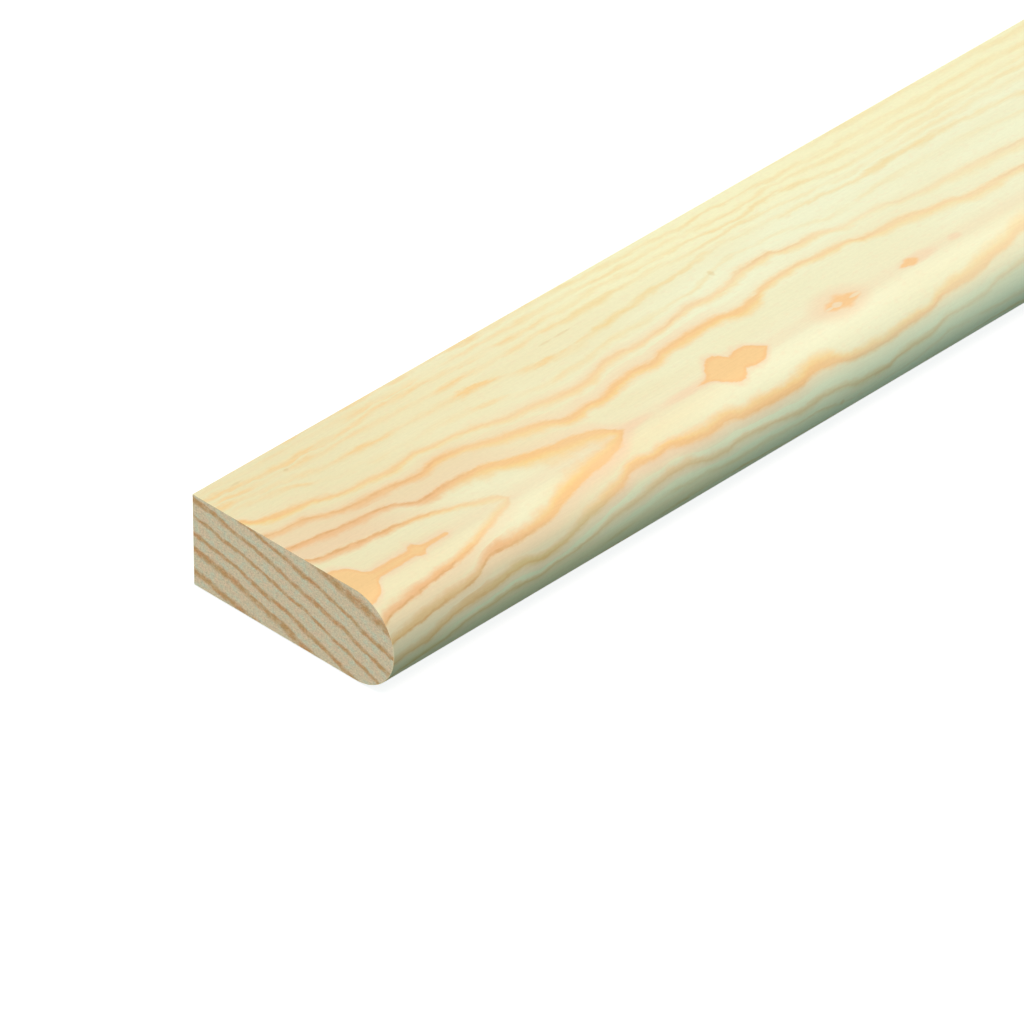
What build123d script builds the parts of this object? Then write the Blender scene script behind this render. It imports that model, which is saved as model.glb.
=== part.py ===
"""Parting bead: a planed pine strip with one square edge and one half-round edge, sold by the length.

The bead lies flat on one of its wide faces. X runs along the length, the half-round edge faces -Y,
Z is up, and the origin is under the middle of the strip. All sizes are in millimetres.
"""

import os

from build123d import *

# Driving dimensions
LENGTH = 2400.0  # one stock length, sawn square at both ends
WIDTH = 20.5  # from the square back edge to the crown of the half-round edge
THICKNESS = 8.0  # between the two wide faces
ARRIS_RADIUS = 0.2  # the light easing on the two corners of the square edge

# Places in the section that follow from them
NOSE_RADIUS = THICKNESS / 2  # a half round meets both wide faces without a step
BACK_Y = WIDTH / 2
CROWN_Y = -WIDTH / 2
SPRING_Y = CROWN_Y + NOSE_RADIUS  # the wide faces end here and the half round begins


def bead_section():
    """The section of the bead, drawn in the YZ plane."""
    with BuildSketch(Plane.YZ) as section:
        with BuildLine():
            Polyline((SPRING_Y, 0), (BACK_Y, 0), (BACK_Y, THICKNESS), (SPRING_Y, THICKNESS))
            ThreePointArc((SPRING_Y, THICKNESS), (CROWN_Y, NOSE_RADIUS), (SPRING_Y, 0))
        make_face()
        back_corners = section.vertices().group_by(Axis.X)[-1]
        fillet(back_corners, ARRIS_RADIUS)
    return section.sketch


def parting_bead():
    """One stock length of the section, centred on the origin along X."""
    return extrude(bead_section(), amount=LENGTH / 2, both=True)


def main():
    os.makedirs("parts", exist_ok=True)
    bead = parting_bead()
    bead.label = "parting_bead"
    export_step(bead, "parts/parting_bead.step")


main()
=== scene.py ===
"""The looks of the parting bead: a strip of planed pine with one half-round edge, lying on a pale floor.

Metres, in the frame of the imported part: X along the length, the half-round edge towards -Y, Z up.
The grain is drawn on a map of the strip's own surface, in millimetres along the length from the near
end and round the section from the top of the square back edge.
"""

import math
from collections import namedtuple

import bmesh
import bpy
from mathutils import Matrix, Vector


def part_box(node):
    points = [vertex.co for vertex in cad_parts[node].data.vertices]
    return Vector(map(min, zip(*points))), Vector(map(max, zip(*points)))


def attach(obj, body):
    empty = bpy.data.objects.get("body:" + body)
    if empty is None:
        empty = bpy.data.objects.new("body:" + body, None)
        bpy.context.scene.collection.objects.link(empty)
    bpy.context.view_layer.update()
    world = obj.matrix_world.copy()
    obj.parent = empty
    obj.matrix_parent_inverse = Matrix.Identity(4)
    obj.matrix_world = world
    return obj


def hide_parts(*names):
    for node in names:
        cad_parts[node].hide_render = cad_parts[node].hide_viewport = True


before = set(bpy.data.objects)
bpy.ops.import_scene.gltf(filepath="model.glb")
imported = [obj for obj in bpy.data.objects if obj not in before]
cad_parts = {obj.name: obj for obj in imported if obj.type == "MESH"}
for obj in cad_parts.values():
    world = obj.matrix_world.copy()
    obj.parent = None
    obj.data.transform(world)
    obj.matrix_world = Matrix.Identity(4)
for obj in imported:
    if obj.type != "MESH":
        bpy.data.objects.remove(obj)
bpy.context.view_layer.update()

MM = 0.001

# The strip, from its node in the frame
strip_low, strip_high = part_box("parting_bead")
NEAR_END = strip_low.x
FAR_END = strip_high.x
LENGTH = FAR_END - NEAR_END
THICKNESS = strip_high.z
BACK_Y = strip_high.y
WIDTH = 2 * BACK_Y  # the strip lies centred across the frame
NOSE_RADIUS = THICKNESS / 2
SPRING_Y = NOSE_RADIUS - BACK_Y  # the wide faces end here and the half round begins

# Edges and facets
BACK_ARRIS = 0.08 * MM  # the light easing on the corners of the square edge
END_ARRIS = 0.04 * MM  # the fuzz taken off the sawn ends
NOSE_STEPS = 28  # facets on each quarter of the half round
ARRIS_STEPS = 4
END_STEPS = 2
ROUND_PROFILE = 0.5  # bevels to a part of a circle
NEARBY = 0.01 * MM
WELD = 0.001 * MM
SMOOTH_ANGLE = math.radians(30)
SAWN_FACING = 0.99  # the share along X of a normal that looks out of a sawn end

# Places round the section, from the top of the back edge, in millimetres
FLAT_GIRTH = (BACK_Y - SPRING_Y) / MM
NOSE_GIRTH = math.pi * NOSE_RADIUS / MM
BACK_GIRTH = THICKNESS / MM
WHOLE_GIRTH = 2 * FLAT_GIRTH + NOSE_GIRTH + BACK_GIRTH

# The bake's map: the near stretch gets a row of its own, the rest of the length lies in rows above it,
# and the two sawn ends lie side by side at the top
NEAR_STRETCH = 120 * MM
LONG_ROWS = 3
NEAR_ROW_HEIGHT = 0.27
LONG_ROW_HEIGHT = 0.185
END_ROW_HEIGHT = 0.13
ROW_GAP = 0.006
END_ROOM = 1.1  # a sawn end's row is this many times as high as the end
NEAR_END_ASIDE = 0.02
FAR_END_ASIDE = 0.52

# The camera: the view of the near end's top back corner in a picture of 1024 by 1024
PICTURE = 1024
VIEW_AZIMUTH = math.radians(-45.28)
VIEW_ELEVATION = math.radians(35.46)
FOCAL_PIXELS = 11252
CORNER_PIXEL = (192.2, 493.8)
CORNER_DEPTH = 806.5 * MM
SENSOR = 36.0


def linear(red, green, blue):
    """A colour as a picture shows it, 0 to 255, as the light that a shader works with."""
    shares = [part / 255 for part in (red, green, blue)]
    light = [s / 12.92 if s <= 0.04045 else ((s + 0.055) / 1.055) ** 2.4 for s in shares]
    return (*light, 1.0)


# Kinds of values: a ring, a soft noise in millimetres, a share that goes from start to end between two
# places, the rim of an oval, the relief of a finish, a place on the strip, the rings there, and a lamp
Ring = namedtuple("Ring", "edge width strength")
Noise = namedtuple("Noise", "length width detail shift")
Fade = namedtuple("Fade", "low high start end", defaults=(0.0, 1.0))
Rim = namedtuple("Rim", "outer inner power")
Relief = namedtuple("Relief", "strength depth")
Spot = namedtuple("Spot", "along girth out signed_out on_nose near grown nose_near by_the_end")
Figure = namedtuple("Figure", "near_count count room width strong fine strong_only outside luck")
Lamp = namedtuple("Lamp", "name comes_from share softness colour")

NOISE_SPREAD = 4.0  # stretches a noise from its middle to about -1 and 1
SHIFT_ACROSS = 1.7  # a noise is shifted this many times as far across as along
WOOD_SHEEN = 0.1

# Colours of the planed wood
PALE_WOOD = linear(241, 239, 203)
WARM_WOOD = linear(238, 226, 183)
SUNNY_WOOD = linear(245, 238, 194)
# painted shade: a greener wood for the crown of the half round
CROWN_SHADE_WOOD = linear(228, 241, 207)
SUMMER_WOOD = linear(246, 199, 138)
SUMMER_GLOW = linear(248, 208, 133)
BUTT_SUMMER = linear(239, 188, 135)  # by the sawn end
FINE_SUMMER = linear(241, 212, 150)  # in the fine rings
FINE_ROSE = linear(244, 208, 149)  # in the fine rings by the end
# painted shade: a duller, greener summer wood for low on the half round
SHADED_SUMMER = linear(224, 200, 140)  # low on the half round
RING_EDGE = linear(215, 160, 100)
HAZE = linear(238, 209, 170)
BLUSH = linear(244, 213, 176)
POCKET = linear(247, 205, 146)
POCKET_RIM = linear(246, 198, 140)
PIN_KNOT = linear(247, 199, 141)
RESIN = linear(229, 206, 156)

# Colours of the sawn ends
END_PALE = linear(220, 199, 168)
END_ROSE = linear(225, 197, 166)
END_GREY = linear(211, 203, 177)
END_SUMMER = linear(197, 151, 101)
END_EMBER = linear(204, 148, 100)
END_PORE = linear(186, 166, 136)

# The four strong rings at the near end, from the inside out. Each has its outer edge, as (millimetres from
# the end, millimetres out from the heart line), and along it the width and strength of its summer wood
INNER_V = Ring(
    edge=[
        (0, 4.9), (1, 4.3), (4, 3.85), (7, 3.4), (9, 3.1), (10.5, 2.55), (12.5, 1.75), (14, 1.2),
        (14.9, 0.9), (15.4, 0.5), (15.65, 0), (22, -4), (30, -6),
    ],
    width=[(0, 0.62), (4, 0.55), (8, 0.45), (11, 0.45), (14, 0.55), (16, 0.6), (100, 0.6)],
    strength=[(0, 1), (9, 1), (10.5, 0.82), (12.5, 0.62), (14.5, 0.5), (16, 0.42), (100, 0.4)],
)
OUTER_V = Ring(
    edge=[
        (0, 6.75), (4.6, 6.0), (8.6, 5.5), (10, 4.65), (11.3, 4.2), (13, 4.4), (17, 4.15), (18.5, 3.55),
        (20.5, 2.8), (22, 2.45), (24, 2.1), (26, 1.4), (27.4, 0), (33, -3), (40, -4),
    ],
    width=[
        (0, 0.6), (4, 0.58), (8, 0.52), (12, 0.7), (16, 1.0), (20, 1.3), (23, 1.35), (26, 1.1), (100, 1.0),
    ],
    strength=[(0, 1), (8, 1), (9.5, 0.88), (12, 1), (20, 1), (26, 0.95), (100, 0.9)],
)
STRONG_RING = Ring(
    edge=[
        (0, 9.1), (2, 8.6), (4.5, 8.1), (7, 7.35), (10, 7.05), (13, 6.7), (15.2, 7.05), (17.5, 6.7),
        (20, 5.9), (22, 5.4), (24, 4.8), (26.2, 3.9), (28, 4.15), (29, 3.95), (31, 4.45), (33.5, 4.75),
        (35.3, 4.6), (36.5, 5.1), (42.2, 5.25), (44.2, 4.75), (46, 5.0), (48.5, 5.7), (51, 5.8), (54, 5.45),
        (56.6, 5.3), (57.6, 4.75), (62, 4.5), (64, 3.95), (66, 3.65), (67.2, 3.1), (73, 2.9), (80, 2.0),
        (87, 0), (95, -3),
    ],
    width=[
        (0, 0.5), (4, 0.5), (8, 0.55), (14, 0.55), (18, 0.6), (22, 0.85), (26, 0.7), (31, 0.6), (35, 0.62),
        (40, 0.65), (44, 0.78), (50, 0.52), (56, 0.52), (62, 0.78), (66, 0.78), (70, 0.7), (90, 0.6),
        (100, 0.6),
    ],
    strength=[
        (0, 0.7), (3, 0.8), (6, 0.95), (15, 1), (19, 0.75), (24, 0.8), (28, 0.95), (36, 0.95), (44, 0.9),
        (50, 0.75), (57, 0.68), (60, 0.6), (72, 0.58), (90, 0.5), (100, 0.5),
    ],
)
NEXT_RING = Ring(
    edge=[
        (0, 11.7), (1, 10.7), (2.3, 10.25), (5, 9.95), (6.5, 9.5), (8, 8.95), (12, 8.5), (14.8, 8.8),
        (17, 8.35), (20, 8.0), (21.5, 7.4), (26, 6.7), (29.5, 6.3), (31, 6.6), (33.5, 7.25), (35.5, 6.95),
        (39, 7.2), (42.5, 7.55), (44, 7.4), (46.5, 7.8), (48.2, 8.35), (51.3, 8.45), (52, 7.95), (56, 7.5),
        (58, 6.8), (61.5, 6.75), (63.5, 6.15), (71, 5.7), (80, 4.6), (86, 3.8), (96, 2.4),
    ],
    width=[
        (0, 0.8), (1, 0.7), (4, 0.6), (8, 0.42), (16, 0.4), (24, 0.55), (30, 0.65), (38, 0.45), (46, 0.5),
        (50, 0.6), (56, 0.5), (64, 0.4), (70, 0.75), (100, 0.5),
    ],
    strength=[
        (0, 1), (4, 0.85), (7, 0.75), (10, 0.72), (15, 0.7), (20, 0.56), (25, 0.48), (29, 0.58), (37, 0.52),
        (46, 0.52), (50, 0.65), (56, 0.5), (62, 0.28), (68, 0.32), (72, 0.38), (100, 0.35),
    ],
)
STRONG_RINGS = [INNER_V, OUTER_V, STRONG_RING, NEXT_RING]
LAST_STRONG = len(STRONG_RINGS)  # in the count from the inside out

# The fine rings between them and the back edge, as (millimetres from the end, millimetres out)
FINE_RINGS = [
    [
        (0, 12.9), (4, 12.5), (6, 11.8), (8.5, 10.7), (13, 10.3), (18, 10.1), (22, 9.6), (26, 8.5),
        (29, 8.2), (34, 8.6), (38, 8.8), (43, 8.8), (48, 9.9), (52, 9.8), (56, 9.2), (58.5, 8.3), (64, 8.9),
        (68, 8.9), (76, 8.3), (88, 6.5), (100, 5.0),
    ],
    [
        (0, 13.7), (5, 13.0), (10, 12.2), (18, 11.9), (25, 11.3), (29, 10.3), (33, 10.0), (38, 10.9),
        (43, 11.1), (48, 11.5), (53, 11.4), (57, 11.1), (62, 10.5), (68, 10.6), (74, 10.5), (88, 9.0),
        (100, 8.0),
    ],
    [
        (0, 14.4), (6, 13.9), (12, 13.6), (18, 13.3), (26, 13.1), (36, 13.0), (44, 12.9), (50, 12.4),
        (55, 12.4), (60, 11.6), (66, 11.5), (74, 11.5), (100, 10.0),
    ],
    [
        (0, 15.2), (5, 14.7), (12, 14.4), (20, 14.8), (27, 14.2), (38, 14.2), (46, 13.8), (50, 13.5),
        (53, 13.0), (55.5, 13.5), (60, 13.0), (65, 12.4), (74, 12.4), (100, 11.6),
    ],
    [
        (0, 16.0), (6, 15.5), (14, 15.5), (24, 15.4), (34, 15.2), (44, 14.8), (50, 14.4), (53, 14.1),
        (58, 14.3), (66, 13.6), (74, 13.5), (100, 13.0),
    ],
    [
        (0, 17.0), (12, 16.6), (26, 16.4), (40, 16.0), (48, 15.4), (54, 15.3), (62, 14.9), (74, 14.7),
        (100, 14.2),
    ],
]
DRAWN_LENGTH = 100.0  # the lines are drawn over this length, and between these places out
LINE_LOW = -6.0
LINE_HIGH = 18.0
WIDEST_BAND = 1.4
FINE_ROOM = 1.5  # between the rings on the back edge

HEART_GIRTH = 16.4  # the heart line of the figure, just behind the spring of the half round
HEART_ROOM = 9.0  # from the innermost ring to the line that its room is counted from
NOSE_SIDE = 0.78  # the rings stand closer on the rounded side of the heart line
NOSE_THIN = 0.9  # and their summer wood is a little thinner there beside the tips of the figure,
NOSE_WIDE = 1.35  # wider before and after them,
NOSE_FINE = 0.8  # and thinner in the last strong ring and outside it
DRAWN_ENDS = 84.0  # the drawn figure gives way to a freely grown one over this stretch
GROWN_BEGINS = 128.0

# The grown figure along the rest of the length
GROWN_DEPTH = 11.0  # of the pith under the face
GROWN_WIDTH = 1.2  # of a ring
GROWN_TAPER = 62.0  # millimetres along for each ring that runs out
GROWN_START = 1.8  # the count of rings that it begins with
NEAREST_OUT = 1.5  # how near to the heart line the room between rings still grows

# The filled pockets on the heart line of the near stretch: how far out they reach along it, in millimetres
POCKET_EDGE = [
    (0, 2.65), (0.5, 2.55), (1, 2.25), (1.4, 1.8), (1.8, 1.15), (2.1, 0.68), (2.6, 0.5), (4.2, 0.56),
    (5.6, 0.48), (6.1, 0.66), (6.5, 0.85), (6.9, 0.6), (7.3, 0.27), (9.3, 0.2), (10, -0.5), (16, -1),
    (33, -1), (34.8, -0.12), (36.2, 0.22), (36.6, 0.5), (37, 1.0), (37.6, 1.65), (38.3, 1.95), (38.9, 1.75),
    (39.3, 1.3), (39.7, 1.02), (40.1, 1.2), (40.6, 1.36), (41.0, 1.3), (41.4, 1.08), (41.8, 0.78),
    (42.2, 0.42), (42.6, -0.1), (44, -1), (100, -1),
]
POCKET_LOW = -1.0
POCKET_HIGH = 3.0

# The pin knots, their pale eyes and the blush near them: middle, half length and half height
PIN_LOBES = [(50.55, 0.95, 0.95), (49.7, 0.9, 0.62), (51.35, 0.95, 0.6)]
PIN_EYES = [(49.95, 0.5, 0.36), (49.15, 0.45, 0.16), (51.85, 0.6, 0.2)]
SMALL_PIN = [(57.9, 0.7, 0.55), (57.3, 0.6, 0.3)]
HALOS = [
    (50.2, 3.4, 2.3), (58.6, 2.4, 0.8), (59.6, 0.9, 0.5), (62.6, 0.8, 0.5), (34.0, 3.0, 0.6),
    (28.4, 2.4, 0.6),
]

# Resin specks: how far along, how far out, half length, half height and strength
SPECKS = [
    (46.4, 9.45, 0.24, 0.36, 0.6), (6.8, 13.75, 0.25, 0.16, 0.8), (3.1, 15.1, 0.5, 0.12, 0.6),
    (31.4, 11.82, 0.7, 0.14, 0.5), (33.1, 11.82, 0.9, 0.14, 0.5),
]


class Finish:
    """A material in the making, with one short call for each kind of node that it uses."""

    def __init__(self, name):
        self.material = bpy.data.materials.new(name)
        self.material.use_nodes = True
        self.tree = self.material.node_tree
        self.surface = self.tree.nodes["Principled BSDF"]

    def put(self, socket, value):
        """Links a socket into another, or sets its plain value."""
        if isinstance(value, bpy.types.NodeSocket):
            self.tree.links.new(value, socket)
        else:
            socket.default_value = value

    def node(self, kind, **settings):
        made = self.tree.nodes.new(kind)
        for name, value in settings.items():
            setattr(made, name, value)
        return made

    def math(self, operation, *values):
        made = self.node("ShaderNodeMath", operation=operation)
        for socket, value in zip(made.inputs, values):
            self.put(socket, value)
        return made.outputs[0]

    def chain(self, operation, values):
        """One operation over any number of values."""
        total = values[0]
        for value in values[1:]:
            total = self.math(operation, total, value)
        return total

    def add(self, *values):
        return self.chain("ADD", values)

    def times(self, *values):
        return self.chain("MULTIPLY", values)

    def most(self, *values):
        return self.chain("MAXIMUM", values)

    def less(self, first, second):
        return self.math("SUBTRACT", first, second)

    def over(self, first, second):
        return self.math("DIVIDE", first, second)

    def span(self, value, low, high, start=0.0, end=1.0, smooth=True):
        """Runs from start to end as the value goes from low to high, and stays there outside."""
        made = self.node("ShaderNodeMapRange", clamp=True)
        made.interpolation_type = "SMOOTHSTEP" if smooth else "LINEAR"
        names = ("Value", "From Min", "From Max", "To Min", "To Max")
        for name, given in zip(names, (value, low, high, start, end)):
            self.put(made.inputs[name], given)
        return made.outputs[0]

    def mix(self, share, first, second):
        """Two colours, or a colour that another one covers by its share."""
        made = self.node("ShaderNodeMix", data_type="RGBA")
        self.put(made.inputs[0], share)
        self.put(made.inputs[6], first)
        self.put(made.inputs[7], second)
        return made.outputs[2]

    def pick(self, share, first, second):
        """Two plain numbers, blended by the share."""
        made = self.node("ShaderNodeMix", data_type="FLOAT")
        self.put(made.inputs[0], share)
        self.put(made.inputs[2], first)
        self.put(made.inputs[3], second)
        return made.outputs[0]

    def place(self, x, y, z=0.0):
        made = self.node("ShaderNodeCombineXYZ")
        for socket, value in zip(made.inputs, (x, y, z)):
            self.put(socket, value)
        return made.outputs[0]

    def parts(self, place):
        """The three numbers of a place."""
        made = self.node("ShaderNodeSeparateXYZ")
        self.put(made.inputs[0], place)
        return made.outputs

    def cloud(self, along, across, noise):
        """Soft noise as long and wide as it says, mostly from -1 to 1. Another shift makes another one."""
        x = self.math("MULTIPLY_ADD", along, 1 / noise.length, noise.shift)
        y = self.math("MULTIPLY_ADD", across, 1 / noise.width, noise.shift * SHIFT_ACROSS)
        made = self.node("ShaderNodeTexNoise", noise_dimensions="2D")
        self.put(made.inputs["Vector"], self.place(x, y))
        made.inputs["Scale"].default_value = 1.0
        made.inputs["Detail"].default_value = noise.detail
        return self.math("MULTIPLY_ADD", made.outputs[0], NOISE_SPREAD, -NOISE_SPREAD / 2)

    def chance(self, number):
        """A fixed random share for each whole number."""
        made = self.node("ShaderNodeTexWhiteNoise", noise_dimensions="1D")
        self.put(made.inputs["W"], number)
        return made.outputs["Value"]

    def drawn(self, value, points, start, end, low, high, straight=False):
        """A line drawn through points, which lie from start to end and from low to high."""
        made = self.node("ShaderNodeFloatCurve")
        curve = made.mapping.curves[0]
        spots = [((x - start) / (end - start), (y - low) / (high - low)) for x, y in points]
        for spot, (x, y) in zip(curve.points, (spots[0], spots[-1])):
            spot.location = (x, y)
        for x, y in spots[1:-1]:
            curve.points.new(x, y)
        for spot in curve.points:
            spot.handle_type = "VECTOR" if straight else "AUTO_CLAMPED"
        made.mapping.update()
        self.put(made.inputs["Value"], self.span(value, start, end, smooth=False))
        return self.math("MULTIPLY_ADD", made.outputs[0], high - low, low)

    def oval(self, along, out, middle, half_length, half_height, rim):
        """1 inside a small oval on the heart line, and 0 outside it."""
        x = self.over(self.math("ABSOLUTE", self.less(along, middle)), half_length)
        y = self.over(self.math("ABSOLUTE", out), half_height)
        reach = self.add(self.math("POWER", x, rim.power), self.math("POWER", y, rim.power))
        return self.span(reach, rim.outer, rim.inner)

    def finished(self, colour, lightness, roughness, height, relief):
        """The material, with its colour, made lighter or darker, its roughness and its shallow relief."""
        toned = self.node("ShaderNodeHueSaturation")
        self.put(toned.inputs["Color"], colour)
        self.put(toned.inputs["Value"], lightness)
        self.put(self.surface.inputs["Base Color"], toned.outputs[0])
        self.put(self.surface.inputs["Roughness"], roughness)
        self.surface.inputs["Specular IOR Level"].default_value = WOOD_SHEEN
        bump = self.node("ShaderNodeBump")
        bump.inputs["Strength"].default_value = relief.strength
        bump.inputs["Distance"].default_value = relief.depth
        self.put(bump.inputs["Height"], height)
        self.put(self.surface.inputs["Normal"], bump.outputs[0])
        return self.material


# How the heart line wanders beyond the drawn figure, and how the rings wave, in millimetres out
WANDER = Noise(420, 1, 1.0, 5.5)
WANDER_REACH = 3.2
RIPPLE = Noise(6, 3.5, 2.0, 1.3)
RIPPLE_REACH = 0.07
TREMBLE = Noise(1.5, 1.2, 3.0, 6.4)
TREMBLE_REACH = 0.08
WAVES_HELD = Fade(0.0, 1.5, 0.3, 1.0)  # they are smaller by the heart line
STRAY = Noise(3.6, 1.6, 2.0, 8.8)
STRAY_REACH = Fade(6.0, 9.0, 0.0, 0.22)  # only the outer rings stray
BY_THE_END = Fade(38.0, 26.0)  # the stretch where the fine rings are patchy and rosy


def place_on_strip(pine):
    """Where a place lies along and round the strip, and how far out from the heart line."""
    chart = pine.node("ShaderNodeUVMap", uv_map="grain")
    along, girth, _ = pine.parts(chart.outputs[0])
    grown = pine.span(along, DRAWN_ENDS, GROWN_BEGINS)
    near = pine.less(1.0, grown)
    wander = pine.times(grown, WANDER_REACH, pine.cloud(along, 0.0, WANDER))
    from_heart = pine.less(girth, pine.add(HEART_GIRTH, wander))
    on_nose = pine.math("GREATER_THAN", from_heart, 0.0)
    distance = pine.math("ABSOLUTE", from_heart)
    out = pine.pick(on_nose, distance, pine.times(distance, 1 / NOSE_SIDE))
    side = pine.math("MULTIPLY_ADD", on_nose, -2.0, 1.0)
    signed_out = pine.times(out, pine.pick(grown, 1.0, side))
    nose_near = pine.times(near, on_nose)
    by_the_end = pine.span(along, *BY_THE_END)
    return Spot(along, girth, out, signed_out, on_nose, near, grown, nose_near, by_the_end)


def wavy_out(pine, spot):
    """The distance out from the heart line, with the small waves of the rings in it."""
    ripple = pine.times(RIPPLE_REACH, pine.cloud(spot.along, spot.signed_out, RIPPLE))
    tremble = pine.times(TREMBLE_REACH, pine.cloud(spot.along, spot.signed_out, TREMBLE))
    held = pine.span(spot.out, *WAVES_HELD)
    stray = pine.times(pine.span(spot.out, *STRAY_REACH), pine.cloud(spot.along, spot.signed_out, STRAY))
    return pine.add(spot.out, pine.times(held, pine.add(ripple, tremble)), stray)


# The width of the fine rings along the near stretch
FINE_WIDTH = Fade(36.0, 47.0, 0.42, 0.25)
FINE_WIDENS = Fade(57.0, 68.0, 0.0, 0.22)


def drawn_rings(pine, along, out):
    """Near the end: the count of rings out from the heart line, and the room, width and strength of each."""
    def line(points):
        return pine.drawn(along, points, 0.0, DRAWN_LENGTH, LINE_LOW, LINE_HIGH)

    edges = [line(ring.edge) for ring in STRONG_RINGS] + [line(points) for points in FINE_RINGS]
    heart = pine.less(edges[0], HEART_ROOM)
    count = 0.0
    room = HEART_ROOM
    for inner, outer in zip([heart, *edges], edges):
        count = pine.add(count, pine.span(out, inner, outer, smooth=False))
        if inner is not heart:
            past = pine.math("GREATER_THAN", out, inner)
            room = pine.pick(past, room, pine.less(outer, inner))
    beyond = pine.less(out, edges[-1])
    count = pine.add(count, pine.times(pine.math("MAXIMUM", beyond, 0.0), 1 / FINE_ROOM))
    room = pine.pick(pine.math("GREATER_THAN", beyond, 0.0), room, FINE_ROOM)

    width = strength = None
    for order, ring in enumerate(STRONG_RINGS):
        wide = pine.drawn(along, ring.width, 0.0, DRAWN_LENGTH, 0.0, WIDEST_BAND)
        firm = pine.drawn(along, ring.strength, 0.0, DRAWN_LENGTH, 0.0, 1.0)
        if order:
            past = pine.math("GREATER_THAN", count, order + 0.5)
            wide = pine.pick(past, width, wide)
            firm = pine.pick(past, strength, firm)
        width, strength = wide, firm
    thin = pine.add(pine.span(along, *FINE_WIDTH), pine.span(along, *FINE_WIDENS))
    width = pine.pick(pine.math("GREATER_THAN", count, LAST_STRONG + 0.5), width, thin)
    return count, room, width, strength


# How the grown rings sway and swell, in rings, and the width of their summer wood by the room between them
SWAY = Noise(150, 60, 2.0, 3.1)
SWAY_REACH = 1.3
SWELL = Noise(55, 9, 2.0, 8.6)
SWELL_REACH = 0.8
GROWN_BAND = Fade(1.2, 6.0, 0.4, 1.0)


def grown_rings(pine, along, out, signed_out):
    """The rest of the length: the count, room and width of the rings as a flat-sawn face cuts them."""
    rise = pine.math("SQRT", pine.math("MULTIPLY_ADD", out, out, GROWN_DEPTH**2))
    across = pine.over(pine.less(rise, GROWN_DEPTH), GROWN_WIDTH)
    taper = pine.math("MULTIPLY_ADD", along, 1 / GROWN_TAPER, GROWN_START)
    sway = pine.times(SWAY_REACH, pine.cloud(along, signed_out, SWAY))
    swell = pine.times(SWELL_REACH, pine.cloud(along, signed_out, SWELL))
    room = pine.over(pine.times(rise, GROWN_WIDTH), pine.math("MAXIMUM", out, NEAREST_OUT))
    width = pine.span(room, *GROWN_BAND, smooth=False)
    return pine.add(across, taper, sway, swell), room, width


# Where the fine rings begin in the count, and where the last strong ring does
FINE_COUNT = Fade(LAST_STRONG + 0.3, LAST_STRONG + 0.7)
OUTSIDE_COUNT = Fade(LAST_STRONG - 0.7, LAST_STRONG - 0.3)

# How the width of the bands varies
LUMPS = Noise(2.2, 2.2, 3.0, 3.9)
LUMPS_SHARE = Fade(-1.0, 1.0, 0.8, 1.2)
TIPS_BEGIN = Fade(16.0, 11.0, NOSE_THIN, NOSE_WIDE)
TIPS_END = Fade(26.0, 36.0, NOSE_THIN, NOSE_WIDE)

# How strong a grown ring is, by its luck and by the room between the rings
GROWN_LUCK = Fade(0.0, 1.0, 0.3, 0.95)
GROWN_STRENGTH = Fade(1.2, 3.0, 0.55, 1.0)


def ring_figure(pine, spot):
    """The rings at a place, where the drawn ones near the end give way to the grown ones."""
    wavy = wavy_out(pine, spot)
    near_count, near_room, near_width, near_strength = drawn_rings(pine, spot.along, wavy)
    far_count, far_room, far_width = grown_rings(pine, spot.along, wavy, spot.signed_out)
    count = pine.pick(spot.grown, near_count, far_count)
    room = pine.pick(spot.grown, near_room, far_room)
    fine = pine.times(spot.near, pine.span(near_count, *FINE_COUNT))
    outside = pine.span(near_count, *OUTSIDE_COUNT)
    luck = pine.chance(pine.math("ROUND", count))

    lumps = pine.span(pine.cloud(spot.along, spot.signed_out, LUMPS), *LUMPS_SHARE)
    beside_tips = pine.most(pine.span(spot.along, *TIPS_BEGIN), pine.span(spot.along, *TIPS_END))
    thinned = pine.pick(spot.nose_near, 1.0, pine.pick(outside, beside_tips, NOSE_FINE))
    width = pine.times(lumps, thinned, pine.pick(spot.grown, near_width, far_width))
    far_strength = pine.times(pine.span(luck, *GROWN_LUCK), pine.span(far_room, *GROWN_STRENGTH))
    strong = pine.pick(spot.grown, near_strength, far_strength)
    return Figure(near_count, count, room, width, strong, fine, pine.less(1.0, fine), outside, luck)


# The ragged outer edge of a ring, in millimetres
RAGGED_LONG = Noise(1.6, 0.24, 2.0, 7.1)
LONG_REACH = 0.055
RAGGED_SHORT = Noise(0.4, 0.3, 2.0, 2.6)
SHORT_REACH = 0.05

# Depths inside that edge, in millimetres: where the summer wood begins and is full, where its dark edge lies
SOFT_BEGIN = -0.5
CRISP_BEGIN = -0.36
FINE_BEGIN = -0.36
FULL_DEPTH = 0.12
CRISP_COUNT = Fade(2.6, 2.4)  # the inner rings begin crisply
EDGE_BEGINS = Fade(-0.13, 0.02)
EDGE_ENDS = Fade(0.27, 0.07)
FLUSH_BEGINS = Fade(-1.9, -0.1)

# Depths as shares of the band's width: where the summer wood and its blush fade out, and where it glows
BAND_ENDS = Fade(1.75, 0.3)
FLUSH_ENDS = Fade(2.0, 0.8)
GLOW_BEGINS = Fade(0.25, 0.9)


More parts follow.
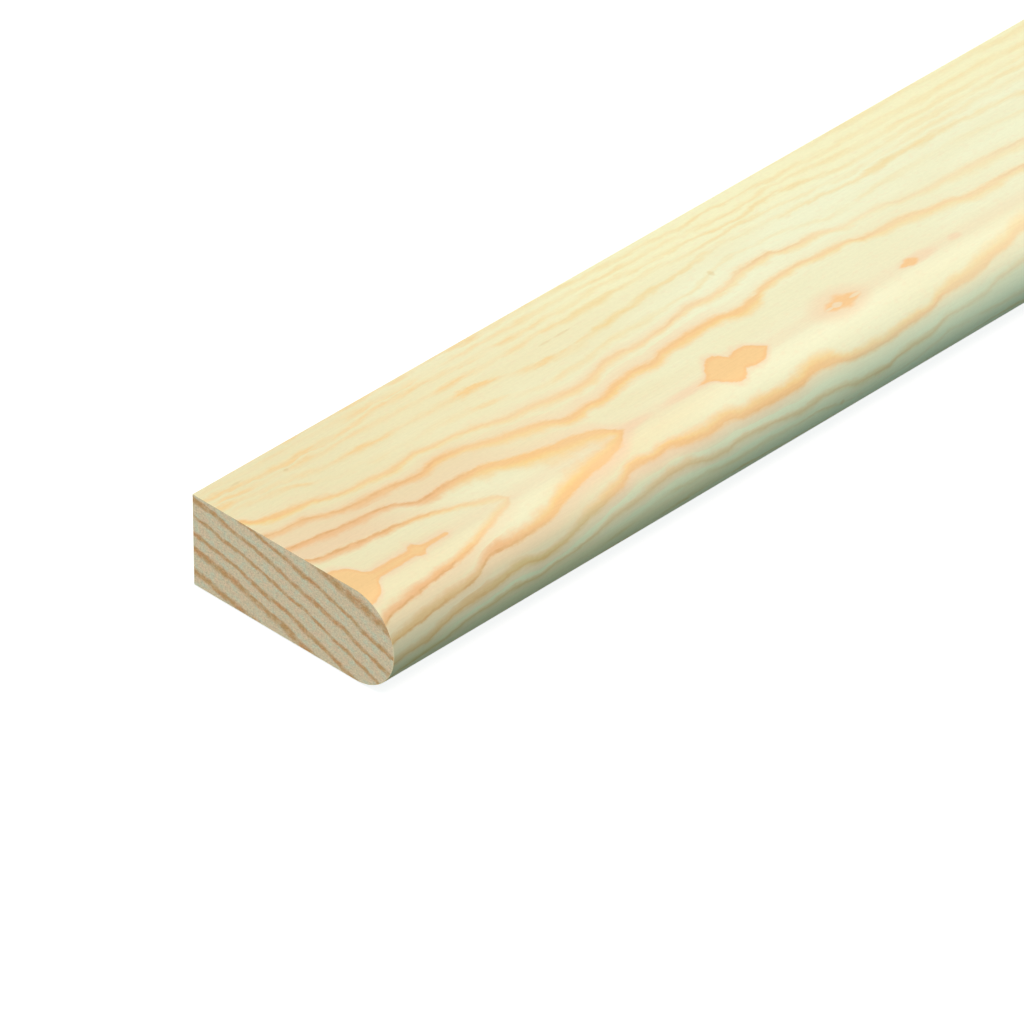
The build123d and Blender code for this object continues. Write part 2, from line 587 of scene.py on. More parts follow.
def summer_bands(pine, spot, rings):
    """How much of a place is summer wood, dark edge, blush and glow, from its depth inside a ring's edge."""
    ragged = pine.add(
        pine.times(LONG_REACH, pine.cloud(spot.along, spot.girth, RAGGED_LONG)),
        pine.times(SHORT_REACH, pine.cloud(spot.along, spot.girth, RAGGED_SHORT)),
    )
    within = pine.math("FRACT", rings.count)
    inside = pine.math("GREATER_THAN", within, 0.5)
    smooth = pine.times(rings.room, pine.pick(inside, pine.times(within, -1.0), pine.less(1.0, within)))
    depth = pine.add(smooth, ragged)
    share = pine.over(depth, rings.width)
    crisp = pine.times(spot.near, pine.span(rings.near_count, *CRISP_COUNT))
    begin = pine.pick(rings.fine, pine.pick(crisp, SOFT_BEGIN, CRISP_BEGIN), FINE_BEGIN)
    summer = pine.times(pine.span(depth, begin, FULL_DEPTH), pine.span(share, *BAND_ENDS))
    edge = pine.times(pine.span(depth, *EDGE_BEGINS), pine.span(depth, *EDGE_ENDS))
    flush = pine.times(pine.span(depth, *FLUSH_BEGINS), pine.span(share, *FLUSH_ENDS))
    return summer, edge, flush, pine.span(share, *GLOW_BEGINS)


# The strong rings are nearly steady
STEADINESS = Noise(7, 4, 2.0, 5.3)
STEADY_SHARE = Fade(-1.0, 1.0, 0.85, 1.0)

# The fine rings are broken, and patchy by the end. Their strength differs out and along and from ring to ring
BREAKS = Noise(9, 1.3, 3.0, 9.7)
BROKEN_SHARE = Fade(-0.9, 0.7, 0.25, 1.0)
PATCHES = Noise(3.6, 1.0, 3.0, 4.1)
PATCHY_SHARE = Fade(-0.5, 0.5, 0.45, 1.15)
FAINT_OUT = (9.0, 13.5)
INNER_STRENGTH = Fade(40.0, 50.0, 0.55, 0.4)
OUTER_STRENGTH = Fade(36.0, 47.0, 0.74, 0.66)
LATER_STRENGTH = Fade(57.0, 68.0, 1.0, 0.75)
FINE_LUCK = Fade(0.0, 1.0, 0.6, 1.15)

# The second fine ring shows more, over two stretches
SECOND_FINE = LAST_STRONG + 2.0
SECOND_COUNT = Fade(0.5, 0.3)
SECOND_BEGINS = Fade(17.0, 23.0)
SECOND_ENDS = Fade(42.0, 35.0)
SECOND_RETURNS = Fade(61.0, 67.0, 0.0, 0.8)
SECOND_STRENGTH = 0.4


def ring_strength(pine, spot, rings):
    """How strongly the summer wood shows: steady in the strong rings, faint and broken in the fine ones."""
    along, signed_out = spot.along, spot.signed_out
    steady = pine.span(pine.cloud(along, signed_out, STEADINESS), *STEADY_SHARE)
    broken = pine.span(pine.cloud(along, signed_out, BREAKS), *BROKEN_SHARE)
    inner = pine.span(along, *INNER_STRENGTH)
    outer = pine.span(along, *OUTER_STRENGTH)
    faint = pine.times(
        pine.span(spot.out, *FAINT_OUT, inner, outer),
        pine.span(along, *LATER_STRENGTH),
        pine.span(rings.luck, *FINE_LUCK),
    )
    from_second = pine.math("ABSOLUTE", pine.less(rings.near_count, SECOND_FINE))
    first_stretch = pine.times(pine.span(along, *SECOND_BEGINS), pine.span(along, *SECOND_ENDS))
    showing = pine.add(first_stretch, pine.span(along, *SECOND_RETURNS))
    faint = pine.add(faint, pine.times(SECOND_STRENGTH, pine.span(from_second, *SECOND_COUNT), showing))
    patches = pine.span(pine.cloud(along, signed_out, PATCHES), *PATCHY_SHARE)
    faint = pine.times(faint, pine.pick(spot.by_the_end, 1.0, patches))
    return pine.pick(rings.fine, pine.times(rings.strong, steady), pine.times(broken, faint))


# The browned stretch by the sawn end, which reaches further in the outer rings
BUTT_REACH = Fade(1.4, 1.6, 13.0, 19.5)
BUTT_FADE = Fade(0.0, 9.0)
BUTT_COUNT = Fade(3.6, 2.5)


def browned_end(pine, spot, rings):
    """1 by the sawn end, and 0 past the stretch where the summer wood is browner."""
    reach = pine.span(rings.near_count, *BUTT_REACH)
    return pine.span(pine.less(reach, spot.along), *BUTT_FADE)


# The dark outer edges of the strong rings: everywhere in places, by the sawn end, and low on the half round
BURNS = Noise(8, 3, 2.0, 6.1)
BURNT_SHARE = Fade(-0.6, 1.0, 0.0, 0.36)
BURNT_ALONG = Fade(30.0, 40.0, 0.35, 1.0)
SCORCH = Noise(1.3, 2.0, 3.0, 1.7)
SCORCHED_SHARE = Fade(-0.9, 0.7, 0.15, 0.6)
SCORCHED_COUNT = Fade(3.4, 2.6, 0.05, 1.0)
BURNT_NOSE = Fade(4.0, 7.0, 0.0, 0.25)


def burnt_edges(pine, spot, rings, butt):
    """How dark the outer edge of a ring is."""
    burns = pine.span(pine.cloud(spot.along, spot.signed_out, BURNS), *BURNT_SHARE)
    burnt = pine.times(pine.span(spot.along, *BURNT_ALONG), burns)
    scorch = pine.span(pine.cloud(spot.along, spot.signed_out, SCORCH), *SCORCHED_SHARE)
    burnt_end = pine.times(butt, scorch, pine.span(rings.near_count, *SCORCHED_COUNT))
    burnt_nose = pine.times(spot.nose_near, pine.span(spot.out, *BURNT_NOSE))
    return pine.times(rings.strong_only, pine.most(burnt, burnt_end, burnt_nose))


# The lumpy outline of the pockets and pin knots: how lumpy it is out from the heart line and along it
POCKET_LUMPS = Noise(0.8, 0.7, 4.0, 4.7)
LUMPY_OUT = (0.3, 1.5)
LEAST_LUMPY = 0.06
MOST_LUMPY = Fade(3.0, 6.0, 0.12, 0.2)
PIN_RIM = Rim(1.6, 0.4, 1.6)
EYE_RIM = Rim(1.4, 0.5, 1.6)
HALO_RIM = Rim(1.2, 0.0, 2.0)
SPECK_RIM = Rim(1.6, 0.2, 1.6)


def heart_marks(pine, along, out):
    """How deep a place lies in a filled pocket, and its share of the pin knots and of their blush."""
    lumps = pine.cloud(along, out, POCKET_LUMPS)
    lumpiness = pine.span(out, *LUMPY_OUT, LEAST_LUMPY, pine.span(along, *MOST_LUMPY))
    lumpy_out = pine.add(out, pine.times(lumpiness, lumps))
    reach = pine.drawn(along, POCKET_EDGE, 0.0, DRAWN_LENGTH, POCKET_LOW, POCKET_HIGH)
    pins = [pine.oval(along, lumpy_out, *lobe, PIN_RIM) for lobe in PIN_LOBES + SMALL_PIN]
    eyes = [pine.oval(along, out, *spot, EYE_RIM) for spot in PIN_EYES]
    halos = [pine.oval(along, out, *spot, HALO_RIM) for spot in HALOS]
    knots = pine.times(pine.most(*pins), pine.less(1.0, pine.most(*eyes)))
    return pine.less(reach, lumpy_out), knots, pine.most(*halos)


def resin_specks(pine, along, out):
    """The few brownish specks."""
    specks = []
    for middle, height, half_length, half_height, strength in SPECKS:
        speck = pine.oval(along, pine.less(out, height), middle, half_length, half_height, SPECK_RIM)
        specks.append(pine.times(strength, speck))
    return pine.most(*specks)


# The warmth of the pale wood: it drifts, grows towards the end, and is less inside the inner rings
DRIFT = Noise(26, 5, 3.0, 2.2)
DRIFT_SHARE = Fade(-1.0, 1.0, -0.2, 0.4)
WARM_STRETCH = Fade(58.0, 4.0)
INSIDE_COUNT = (1.5, 1.95)
INSIDE_WARMTH = Fade(6.0, 16.0, 0.8, 0.4)

# The sunny strip by the back edge, the rosy tinge, and a painted shade: a greener wood mixed into the crown
# of the half round, where the round turns into shade
SUNNY_GIRTH = Fade(6.5, 2.0, 0.0, 0.9)
SUNNY_STRETCH = Fade(22.0, 46.0)
TINGE = Noise(0.9, 0.45, 2.0, 6.6)
TINGE_SHARE = Fade(0.0, 1.2, 0.0, 0.16)
PAINTED_SHADE_BEGINS = Fade(20.2, 21.4)
PAINTED_SHADE_ENDS = Fade(23.4, 22.6)
PAINTED_SHADE_SHARE = 0.55

# The haze between the rings by the sawn end, which reaches further outside the second ring
HAZE_REACH = Fade(1.9, 2.1, 13.0, 25.0)
HAZE_FADE = Fade(0.0, 9.0)
HAZE_BEGINS = Fade(0.97, 1.2)
HAZE_ENDS = Fade(3.7, 2.9)
HAZE_TOP = Fade(1.9, 2.1, 0.85, 0.55)
HAZE_NOSE = 0.4

# The blush along the heart line, a narrow one and a wide one
HEART_NARROW = Fade(1.1, 0.2, 0.0, 0.2)
HEART_WIDE = Fade(3.4, 0.5, 0.0, 0.14)


def spring_wood(pine, spot, rings):
    """The pale wood between the rings, with a painted shade on the crown of the half round."""
    along, girth, count = spot.along, spot.girth, rings.near_count
    drift = pine.span(pine.cloud(along, girth, DRIFT), *DRIFT_SHARE)
    warmth = pine.add(drift, pine.span(along, *WARM_STRETCH))
    warmth = pine.math("MINIMUM", pine.math("MAXIMUM", warmth, 0.0), 1.0)
    inside_warmth = pine.span(along, *INSIDE_WARMTH)
    warmth = pine.times(warmth, pine.span(count, *INSIDE_COUNT, inside_warmth, 1.0))
    sunny = pine.times(pine.span(girth, *SUNNY_GIRTH), pine.span(along, *SUNNY_STRETCH))
    tinge = pine.span(pine.cloud(along, girth, TINGE), *TINGE_SHARE)
    painted_crown_shade = pine.times(pine.span(girth, *PAINTED_SHADE_BEGINS), pine.span(girth, *PAINTED_SHADE_ENDS))
    haze_reach = pine.span(count, *HAZE_REACH)
    haze = pine.times(
        pine.span(pine.less(haze_reach, along), *HAZE_FADE),
        pine.span(count, *HAZE_BEGINS),
        pine.span(count, *HAZE_ENDS),
        pine.pick(spot.on_nose, pine.span(count, *HAZE_TOP), HAZE_NOSE),
    )
    heart_blush = pine.add(pine.span(spot.out, *HEART_NARROW), pine.span(spot.out, *HEART_WIDE))

    wood = pine.mix(warmth, PALE_WOOD, WARM_WOOD)
    wood = pine.mix(sunny, wood, SUNNY_WOOD)
    wood = pine.mix(tinge, wood, BLUSH)
    # painted shade: the crown of the half round is mixed with the greener wood
    wood = pine.mix(pine.times(PAINTED_SHADE_SHARE, painted_crown_shade), wood, CROWN_SHADE_WOOD)
    wood = pine.mix(haze, wood, HAZE)
    return pine.mix(pine.times(spot.near, heart_blush), wood, BLUSH)


# Low on the half round the summer wood is duller and greener, a painted shade: where that begins round the
# section, along the near stretch
LOW_SHADE_GIRTH = Fade(16.0, 28.0, 19.4, 20.4)
LOW_SHADE_FADE = Fade(0.0, 1.4)
LOW_SHADE_SHARE = Fade(8.0, 14.0, 0.6, 1.0)


def summer_wood(pine, spot, rings, glow, butt):
    """The colour of the summer wood: browner by the end, paler in the fine rings, and with a painted shade
    low on the round.
    """
    shade_begins = pine.span(spot.along, *LOW_SHADE_GIRTH)
    shade_share = pine.most(pine.span(spot.along, *LOW_SHADE_SHARE), rings.outside)
    # painted shade: the summer wood low on the half round turns duller and greener
    low = pine.times(spot.near, pine.span(pine.less(spot.girth, shade_begins), *LOW_SHADE_FADE), shade_share)
    browned = pine.times(butt, pine.span(rings.near_count, *BUTT_COUNT))
    band = pine.mix(glow, SUMMER_WOOD, SUMMER_GLOW)
    band = pine.mix(browned, band, BUTT_SUMMER)
    band = pine.mix(rings.fine, band, pine.mix(spot.by_the_end, FINE_SUMMER, FINE_ROSE))
    return pine.mix(low, band, SHADED_SUMMER)


# The blush beside the strong rings: the least of it, and more over a stretch of all of them and of the nose
LEAST_ROSY = 0.25
ROSY_RINGS = 0.5
ROSY_RINGS_BEGIN = Fade(18.0, 25.0)
ROSY_RINGS_END = Fade(48.0, 38.0)
ROSY_NOSE = 0.35
ROSY_NOSE_BEGINS = Fade(2.0, 9.0)
ROSY_NOSE_ENDS = Fade(36.0, 28.0)


def ring_blush(pine, spot):
    """How rosy the wood is beside a strong ring."""
    stretch = pine.span(spot.along, *ROSY_RINGS_BEGIN)
    rings = pine.times(ROSY_RINGS, stretch, pine.span(spot.along, *ROSY_RINGS_END))
    nose_stretch = pine.span(spot.along, *ROSY_NOSE_BEGINS)
    nose = pine.times(ROSY_NOSE, spot.nose_near, nose_stretch, pine.span(spot.along, *ROSY_NOSE_ENDS))
    return pine.add(LEAST_ROSY, rings, nose)


# Depths in a pocket, in millimetres: its blush outside, its skin and its middle
POCKET_BLUSH = Fade(-0.9, 0.1)
POCKET_SKIN = Fade(-0.16, 0.14)
POCKET_MIDDLE = Fade(0.6, 0.1)
HALO_SHARE = 0.7
KNOT_SHARE = 0.9

# How light the wood is: the shimmer of its fibres, a darker stretch by the end, and a painted highlight on
# the shoulder of the round
FIBRE = Noise(3.5, 0.13, 3.0, 4.4)
FIBRE_SHIMMER = 0.016
FUZZ = Noise(0.35, 0.22, 2.0, 8.1)
FUZZ_SHIMMER = 0.015
END_SHADE = Fade(6.0, 22.0, -0.035, 0.0)
HIGHLIGHT_BEGINS = Fade(16.4, 18.0)
HIGHLIGHT_ENDS = Fade(21.0, 20.0)
PAINTED_HIGHLIGHT = 0.06

SPRING_ROUGHNESS = 0.72
SUMMER_ROUGHNESS = 0.6
PLANED_RELIEF = Relief(0.35, 0.03 * MM)
SUMMER_HEIGHT = 0.6  # shares of the relief's depth
FIBRE_HEIGHT = 0.12


def planed_face():
    """Planed pine: pale spring wood, orange summer wood in rings, blush, pockets, pin knots and specks, with
    a painted highlight and painted shade on the half round.
    """
    pine = Finish("planed_pine_face")
    spot = place_on_strip(pine)
    rings = ring_figure(pine, spot)
    summer, edge, flush, glow = summer_bands(pine, spot, rings)
    strength = ring_strength(pine, spot, rings)
    butt = browned_end(pine, spot, rings)
    burning = burnt_edges(pine, spot, rings, butt)
    pocket, knots, halo = heart_marks(pine, spot.along, spot.out)
    pocket_blush = pine.most(halo, pine.span(pocket, *POCKET_BLUSH))

    wood = spring_wood(pine, spot, rings)
    wood = pine.mix(pine.times(ring_blush(pine, spot), strength, flush, rings.strong_only), wood, BLUSH)
    wood = pine.mix(pine.times(HALO_SHARE, pocket_blush), wood, BLUSH)
    band = summer_wood(pine, spot, rings, glow, butt)
    wood = pine.mix(pine.times(strength, summer), wood, band)
    wood = pine.mix(pine.times(strength, edge, burning), wood, RING_EDGE)
    wood = pine.mix(pine.times(KNOT_SHARE, knots), wood, PIN_KNOT)
    filled = pine.mix(pine.span(pocket, *POCKET_MIDDLE), POCKET, POCKET_RIM)
    wood = pine.mix(pine.span(pocket, *POCKET_SKIN), wood, filled)
    wood = pine.mix(resin_specks(pine, spot.along, spot.out), wood, RESIN)

    fibre = pine.cloud(spot.along, spot.girth, FIBRE)
    fuzz = pine.cloud(spot.along, spot.girth, FUZZ)
    shimmer = pine.add(pine.times(FIBRE_SHIMMER, fibre), pine.times(FUZZ_SHIMMER, fuzz))
    end_shade = pine.span(spot.along, *END_SHADE)
    # painted highlight: the shoulder of the half round is made lighter
    shoulder_highlight = pine.times(pine.span(spot.girth, *HIGHLIGHT_BEGINS), pine.span(spot.girth, *HIGHLIGHT_ENDS))
    lightness = pine.add(1.0, shimmer, end_shade, pine.times(PAINTED_HIGHLIGHT, shoulder_highlight))
    roughness = pine.pick(summer, SPRING_ROUGHNESS, SUMMER_ROUGHNESS)
    height = pine.add(pine.times(SUMMER_HEIGHT, strength, summer), pine.times(FIBRE_HEIGHT, fibre))
    return pine.finished(wood, lightness, roughness, height, PLANED_RELIEF)


# The rings on the sawn ends, outermost first: how far under the top each meets the back edge, and its width
END_RINGS = [
    (-4.3, 0.4), (-2.65, 0.62), (-0.95, 0.3), (0.45, 0.42), (1.85, 0.28), (3.45, 0.4), (4.7, 0.52),
    (6.8, 0.45), (8.3, 0.4),
]
END_DIP = 0.155  # how they sink towards the half round, for each millimetre and for its square
END_CURL = 0.0055
END_FAN = 0.04  # how much more the deeper ones sink
FAR_END_SHIFT = 0.8
END_RIPPLE = Noise(2.6, 2.6, 2.0, 2.7)
END_RIPPLE_REACH = 0.16
END_SHIVER = Noise(0.5, 0.5, 3.0, 5.1)
END_SHIVER_REACH = 0.07
END_BREAKS = Noise(0.7, 0.5, 4.0, 3.3)
END_BROKEN = Fade(-1.0, 0.5, 0.5, 1.0)
END_BAND = Fade(0.95, 0.2)
END_RING_SHARE = 0.95
EMBERS = Noise(1.1, 0.8, 2.0, 6.2)
EMBER_SHARE = Fade(-0.4, 0.8)

# The wood between them: its tint, mottling, speckle and pores
END_TINT = Noise(0.8, 0.6, 2.0, 9.2)
ROSE_TINT = Fade(0.0, 0.9)
GREY_TINT = Fade(0.0, -0.9)
MOTTLE = Noise(0.5, 0.3, 3.0, 7.3)
MOTTLE_SHADE = 0.03
SPECKLE = Noise(0.17, 0.13, 3.0, 1.1)
SPECKLE_SHADE = 0.15
PORES = Noise(0.3, 0.2, 1.0, 1.9)
PORE_SHARE = Fade(0.5, 1.1)
PORE_COLOUR = 0.4

END_ROUGHNESS = 0.9
SAWN_RELIEF = Relief(0.5, 0.05 * MM)
SPECKLE_HEIGHT = 0.6
PORE_HEIGHT = -0.5


def sawn_end():
    """Sawn end grain: greyish, mottled and speckled, with soft brown rings that dip to the half round."""
    pine = Finish("sawn_pine_end")
    where = pine.node("ShaderNodeTexCoord")
    x, y, z = pine.parts(where.outputs["Object"])
    from_back = pine.times(pine.less(BACK_Y, y), 1 / MM)
    down = pine.times(pine.less(THICKNESS, z), 1 / MM)
    far = pine.math("GREATER_THAN", x, 0.0)

    ripple = pine.times(END_RIPPLE_REACH, pine.cloud(from_back, down, END_RIPPLE))
    shiver = pine.times(END_SHIVER_REACH, pine.cloud(from_back, down, END_SHIVER))
    dip = pine.times(from_back, pine.math("MULTIPLY_ADD", from_back, END_CURL, END_DIP))
    sunk = pine.less(pine.add(down, ripple, shiver), dip)
    fanned = pine.over(sunk, pine.math("MULTIPLY_ADD", dip, END_FAN, 1.0))
    level = pine.add(fanned, pine.times(FAR_END_SHIFT, far))
    top, bottom = END_RINGS[0][0], END_RINGS[-1][0]
    last = len(END_RINGS) - 1
    steps = [(ring, step) for step, (ring, width) in enumerate(END_RINGS)]
    count = pine.drawn(level, steps, top, bottom, 0.0, last, straight=True)
    width = pine.drawn(level, END_RINGS, top, bottom, 0.0, 1.0, straight=True)
    nearest = pine.math("ABSOLUTE", pine.less(count, pine.math("ROUND", count)))
    across = pine.over(pine.times(nearest, (bottom - top) / last), width)
    broken = pine.span(pine.cloud(from_back, down, END_BREAKS), *END_BROKEN)
    ring = pine.times(broken, pine.span(across, *END_BAND))
    ember = pine.span(pine.cloud(from_back, down, EMBERS), *EMBER_SHARE)

    tint = pine.cloud(from_back, down, END_TINT)
    mottle = pine.cloud(from_back, down, MOTTLE)
    speckle = pine.cloud(from_back, down, SPECKLE)
    pores = pine.span(pine.cloud(from_back, down, PORES), *PORE_SHARE)
    wood = pine.mix(pine.span(tint, *ROSE_TINT), END_PALE, END_ROSE)
    wood = pine.mix(pine.span(tint, *GREY_TINT), wood, END_GREY)
    wood = pine.mix(pine.times(END_RING_SHARE, ring), wood, pine.mix(ember, END_SUMMER, END_EMBER))
    wood = pine.mix(pine.times(PORE_COLOUR, pores), wood, END_PORE)
    shade = pine.add(pine.times(SPECKLE_SHADE, speckle), pine.times(MOTTLE_SHADE, mottle))
    height = pine.add(pine.times(SPECKLE_HEIGHT, speckle), pine.times(PORE_HEIGHT, pores))
    return pine.finished(wood, pine.add(1.0, shade), END_ROUGHNESS, height, SAWN_RELIEF)


def select_edges(strip, wanted, lengthwise=False):
    """In edit mode, selects the edges whose two ends are both wanted, or only those along the strip."""
    bpy.ops.mesh.select_mode(type="EDGE")
    bpy.ops.mesh.select_all(action="DESELECT")
    mesh = bmesh.from_edit_mesh(strip.data)
    for edge in mesh.edges:
        first, second = (vertex.co for vertex in edge.verts)
        runs_along = abs(first.x - second.x) > MM
        edge.select_set(wanted(first) and wanted(second) and (runs_along or not lengthwise))
    bmesh.update_edit_mesh(strip.data)


def row_ends():
    """Where the rows of the bake's map begin and end along X."""
    long_row = (LENGTH - NEAR_STRETCH) / LONG_ROWS
    return [NEAR_END, *(NEAR_END + NEAR_STRETCH + step * long_row for step in range(LONG_ROWS + 1))]


def planed_strip():
    """A bar whose front edges are rounded into one half round and whose other corners are eased."""
    bpy.ops.object.select_all(action="DESELECT")
    size = (LENGTH, WIDTH, THICKNESS)
    bpy.ops.mesh.primitive_cube_add(size=1, location=(0, 0, THICKNESS / 2), scale=size)
    strip = bpy.context.object
    strip.name = "pine_bead"
    bpy.ops.object.transform_apply(location=True, rotation=False, scale=True)
    bpy.ops.object.mode_set(mode="EDIT")

    select_edges(strip, lambda co: co.y < SPRING_Y, lengthwise=True)
    bpy.ops.mesh.bevel(
        offset=NOSE_RADIUS, segments=NOSE_STEPS, profile=ROUND_PROFILE, affect="EDGES", clamp_overlap=True,
    )
    select_edges(strip, lambda co: co.y > BACK_Y - NEARBY, lengthwise=True)
    bpy.ops.mesh.bevel(offset=BACK_ARRIS, segments=ARRIS_STEPS, profile=ROUND_PROFILE, affect="EDGES")
    bpy.ops.mesh.select_all(action="SELECT")
    bpy.ops.mesh.remove_doubles(threshold=WELD)

    for x in row_ends()[1:-1]:
        bpy.ops.mesh.select_all(action="SELECT")
        bpy.ops.mesh.bisect(plane_co=(x, 0, 0), plane_no=(1, 0, 0))
    for x in (NEAR_END, FAR_END):
        select_edges(strip, lambda co: abs(co.x - x) < NEARBY)
        bpy.ops.mesh.bevel(offset=END_ARRIS, segments=END_STEPS, profile=ROUND_PROFILE, affect="EDGES")

    bpy.ops.mesh.select_all(action="SELECT")
    bpy.ops.mesh.normals_make_consistent(inside=False)
    bpy.ops.object.mode_set(mode="OBJECT")
    bpy.ops.object.shade_smooth_by_angle(angle=SMOOTH_ANGLE)
    return strip


def girth_of(place, facing):
    """How far round the section a point lies, on the face that looks the given way."""
    if place.y <= SPRING_Y:
        turn = math.atan2(SPRING_Y - place.y, place.z - NOSE_RADIUS)
        return FLAT_GIRTH + turn * NOSE_RADIUS / MM
    if facing.y > abs(facing.z):
        return (place.z - THICKNESS) / MM
    if facing.z > 0:
        return (BACK_Y - place.y) / MM
    return FLAT_GIRTH + NOSE_GIRTH + (place.y - SPRING_Y) / MM


def looks_out_of_an_end(face):
    """Whether a face is one of the two sawn ends."""
    return abs(face.normal.x) > SAWN_FACING


def lay_maps(strip):
    """The grain's chart, in millimetres along and round the strip, and the bake's map, in rows."""
    mesh = strip.data
    for old in list(mesh.uv_layers):
        mesh.uv_layers.remove(old)
    chart = mesh.uv_layers.new(name="grain")
    baked = mesh.uv_layers.new(name="OFBake")
    ends = row_ends()
    heights = [NEAR_ROW_HEIGHT] + [LONG_ROW_HEIGHT] * LONG_ROWS
    end_scale = END_ROW_HEIGHT / (THICKNESS * END_ROOM)
    for face in mesh.polygons:
        sawn = looks_out_of_an_end(face)
        row = sum(face.center.x > x for x in ends[1:-1])
        base = sum(heights[:row]) + ROW_GAP * (row + 1)
        for corner in face.loop_indices:
            place = mesh.vertices[mesh.loops[corner].vertex_index].co
            along = (place.x - NEAR_END) / MM
            girth = girth_of(place, face.normal)
            chart.uv[corner].vector = (along, girth)
            if sawn:
                aside = NEAR_END_ASIDE if face.center.x < 0 else FAR_END_ASIDE
                u = aside + (BACK_Y - place.y) * end_scale
                v = 1 - ROW_GAP - END_ROW_HEIGHT + place.z * end_scale
            else:
                share = (place.x - ends[row]) / (ends[row + 1] - ends[row])
                u = ROW_GAP + share * (1 - 2 * ROW_GAP)
                v = base + (girth + BACK_GIRTH) / WHOLE_GIRTH * heights[row]
            baked.uv[corner].vector = (u, v)


def bead():
    """The finished strip with its two finishes, riding on the frame's body."""
    strip = planed_strip()
    lay_maps(strip)
    strip.data.materials.clear()
    strip.data.materials.append(planed_face())
    strip.data.materials.append(sawn_end())
    for face in strip.data.polygons:
        face.material_index = 1 if looks_out_of_an_end(face) else 0
    flats = strip.modifiers.new("flats", "WEIGHTED_NORMAL")
    flats.keep_sharp = True
    bpy.ops.object.modifier_apply(modifier=flats.name)
    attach(strip, "root")
    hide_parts("parting_bead")
    return strip


FLOOR_SIZE = 60.0
FLOOR_DROP = 0.1 * MM  # keeps the floor off the strip's own underside
FLOOR_SEEN = (0.3, 0.3, 0.3, 1.0)  # takes the shadow that the camera sees
FLOOR_LIFT = 0.87  # brings the floor up to white for the camera
FLOOR_WHITE = (0.95, 0.95, 0.95, 1.0)  # in a reflection
FLOOR_BOUNCE = (0.17, 0.215, 0.225, 1.0)  # the light that it sends back
SKY_LIGHT = (0.52, 1.0, 1.02, 1.0)
SKY_STRENGTH = 0.47
ROOM_WHITE = (1.0, 1.0, 1.0, 1.0)

# The lamps: where each one shines from, its share of the light, how many degrees wide it is, and its colour
END_WARMTH = (1.0, 0.92, 0.88)
LAMPS = [
    Lamp("overhead", (-0.05, -0.31, 1.0), 0.735, 36, (1.0, 0.72, 0.705)),
    Lamp("near_end_fill", (-1.0, 0.0, 0.06), 0.465, 5, END_WARMTH),
    Lamp("far_end_fill", (1.0, 0.0, 0.06), 0.465, 5, END_WARMTH),
    Lamp("back_fill", (0.0, 1.0, 0.04), 0.55, 4, (1.0, 0.8, 0.76)),
]
LAMP_DISTANCE = 3.0


def seen_straight(tree):
    """1 for what the camera, a reflection or a clear surface sees, and 0 for light that only bounces."""
    path = tree.nodes.new("ShaderNodeLightPath")
    total = path.outputs["Is Camera Ray"]
    for name in ("Is Glossy Ray", "Is Transmission Ray"):
        either = tree.nodes.new("ShaderNodeMath")
        either.operation = "MAXIMUM"
        tree.links.new(total, either.inputs[0])
        tree.links.new(path.outputs[name], either.inputs[1])
        total = either.outputs[0]
    return total


def pale_floor():
    """A plain white floor that keeps the strip's shadow and sends little light back up."""
    bpy.ops.object.select_all(action="DESELECT")
    bpy.ops.mesh.primitive_plane_add(size=FLOOR_SIZE, location=(0, 0, -FLOOR_DROP))
    floor = bpy.context.object
    floor.name = "floor"
    material = bpy.data.materials.new("pale_floor")
    material.use_nodes = True
    tree = material.node_tree
    tree.nodes.clear()
    output = tree.nodes.new("ShaderNodeOutputMaterial")
    either = tree.nodes.new("ShaderNodeMixShader")
    bounce = tree.nodes.new("ShaderNodeBsdfDiffuse")
    bounce.inputs["Color"].default_value = FLOOR_BOUNCE
    mirrored = tree.nodes.new("ShaderNodeBsdfDiffuse")
    mirrored.inputs["Color"].default_value = FLOOR_WHITE
    seen = tree.nodes.new("ShaderNodeBsdfDiffuse")
    seen.inputs["Color"].default_value = FLOOR_SEEN
    lift = tree.nodes.new("ShaderNodeEmission")
    lift.inputs["Strength"].default_value = FLOOR_LIFT
    lifted = tree.nodes.new("ShaderNodeAddShader")
    tree.links.new(seen.outputs[0], lifted.inputs[0])
    tree.links.new(lift.outputs[0], lifted.inputs[1])
    path = tree.nodes.new("ShaderNodeLightPath")
    white = tree.nodes.new("ShaderNodeMixShader")
    tree.links.new(path.outputs["Is Camera Ray"], white.inputs[0])
    tree.links.new(mirrored.outputs[0], white.inputs[1])
    tree.links.new(lifted.outputs[0], white.inputs[2])
    tree.links.new(seen_straight(tree), either.inputs[0])
    tree.links.new(bounce.outputs[0], either.inputs[1])
    tree.links.new(white.outputs[0], either.inputs[2])
    tree.links.new(either.outputs[0], output.inputs[0])
    floor.data.materials.append(material)


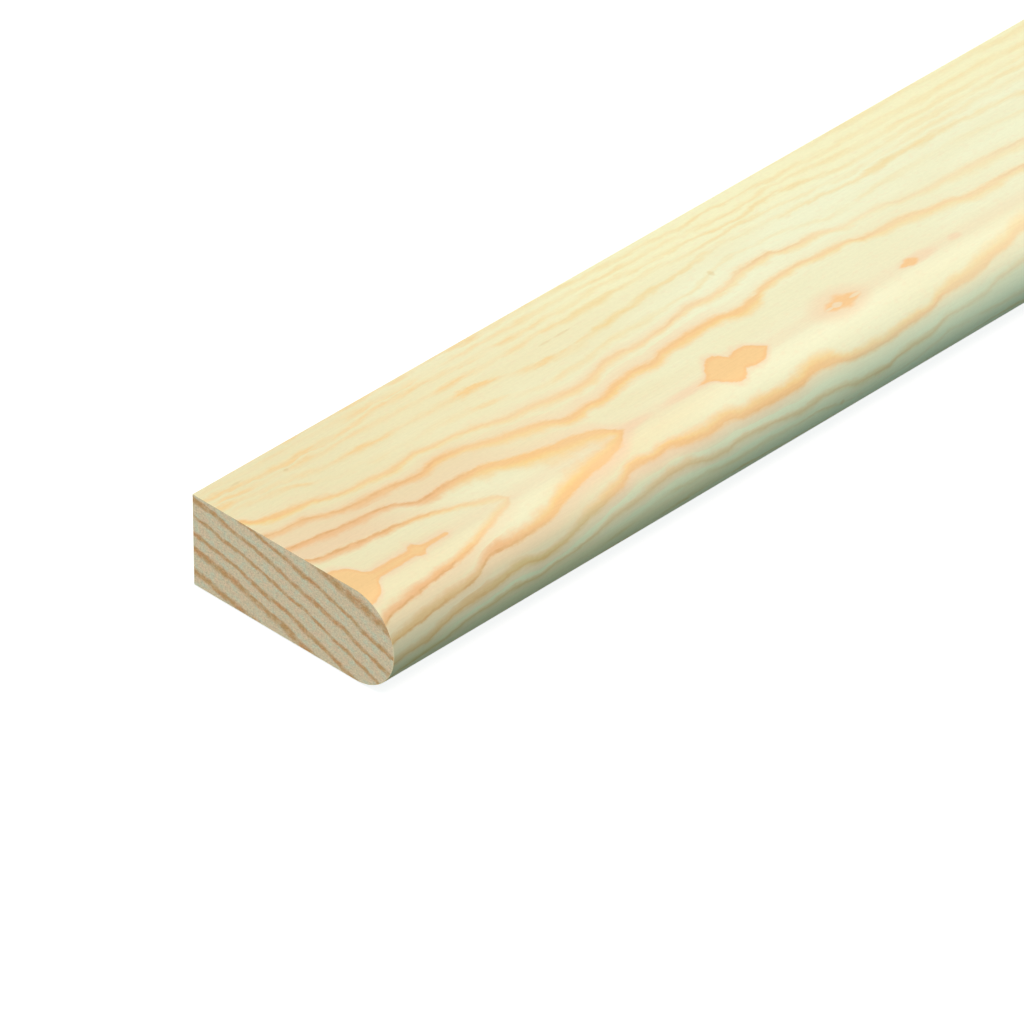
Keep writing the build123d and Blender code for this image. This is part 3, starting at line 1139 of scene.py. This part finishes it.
def white_room():
    """A white room all round, which lights the strip only softly."""
    world = bpy.data.worlds.new("white_room")
    bpy.context.scene.world = world
    world.use_nodes = True
    tree = world.node_tree
    tree.nodes.clear()
    output = tree.nodes.new("ShaderNodeOutputWorld")
    either = tree.nodes.new("ShaderNodeMixShader")
    soft = tree.nodes.new("ShaderNodeBackground")
    soft.inputs["Color"].default_value = SKY_LIGHT
    soft.inputs["Strength"].default_value = SKY_STRENGTH
    white = tree.nodes.new("ShaderNodeBackground")
    white.inputs["Color"].default_value = ROOM_WHITE
    tree.links.new(seen_straight(tree), either.inputs[0])
    tree.links.new(soft.outputs[0], either.inputs[1])
    tree.links.new(white.outputs[0], either.inputs[2])
    tree.links.new(either.outputs[0], output.inputs[0])


def hang(lamp):
    """A far soft lamp. A share of 1 shows a colour as it is written on a face turned to the lamp."""
    light = bpy.data.lights.new(lamp.name, "SUN")
    light.energy = lamp.share * math.pi
    light.color = lamp.colour
    light.angle = math.radians(lamp.softness)
    holder = bpy.data.objects.new(lamp.name, light)
    holder.rotation_mode = "QUATERNION"
    holder.rotation_quaternion = Vector(lamp.comes_from).to_track_quat("Z", "Y")
    holder.location = Vector(lamp.comes_from).normalized() * LAMP_DISTANCE
    bpy.context.scene.collection.objects.link(holder)


def camera():
    """The photograph's view, from the place where the near corner has its pixel and its distance."""
    back = Vector((
        math.sin(VIEW_AZIMUTH) * math.cos(VIEW_ELEVATION),
        -math.cos(VIEW_AZIMUTH) * math.cos(VIEW_ELEVATION),
        math.sin(VIEW_ELEVATION),
    ))
    right = Vector((0, 0, 1)).cross(back).normalized()
    up = back.cross(right)
    corner = Vector((NEAR_END, BACK_Y, THICKNESS))
    aside = (CORNER_PIXEL[0] - PICTURE / 2) / FOCAL_PIXELS * CORNER_DEPTH
    above = (PICTURE / 2 - CORNER_PIXEL[1]) / FOCAL_PIXELS * CORNER_DEPTH
    stand = corner - right * aside - up * above + back * CORNER_DEPTH
    data = bpy.data.cameras.new("camera")
    data.sensor_width = SENSOR
    data.lens = SENSOR * FOCAL_PIXELS / PICTURE
    holder = bpy.data.objects.new("camera", data)
    turn = Matrix((right, up, back)).transposed().to_4x4()
    holder.matrix_world = Matrix.Translation(stand) @ turn
    bpy.context.scene.collection.objects.link(holder)
    bpy.context.scene.camera = holder


bead()
pale_floor()
white_room()
for lamp in LAMPS:
    hang(lamp)
camera()
bpy.context.scene.view_settings.view_transform = "Standard"
